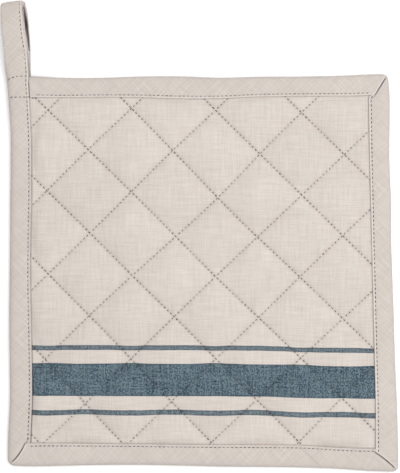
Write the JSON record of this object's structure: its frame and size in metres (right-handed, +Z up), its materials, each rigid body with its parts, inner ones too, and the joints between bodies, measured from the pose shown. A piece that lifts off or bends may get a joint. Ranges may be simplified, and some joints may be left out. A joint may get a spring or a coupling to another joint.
{
  "type": "quilted pot holder",
  "caption": "Square quilted linen pot holder with woven blue-grey stripes, mitred binding and a hanging loop at one corner.",
  "frame": {"origin": "middle of the part's plan box, on the surface it lies on", "axes": "+Z up out of the face, +Y towards the loop's edge, +X to the right with the loop at the upper left"},
  "size_m": [0.2054, 0.2438, 0.0085],
  "materials": {
    "linen_face": "matt natural linen, plain weave, yarn-dyed stripes",
    "linen_binding": "matt natural linen cut on the bias"
  },
  "bodies": {
    "root": {"quilted_pad": "linen_face", "binding_top": "linen_binding", "binding_right": "linen_binding", "binding_bottom": "linen_binding", "binding_left": "linen_binding", "hanging_loop": "linen_binding"}
  },
  "joints": []
}
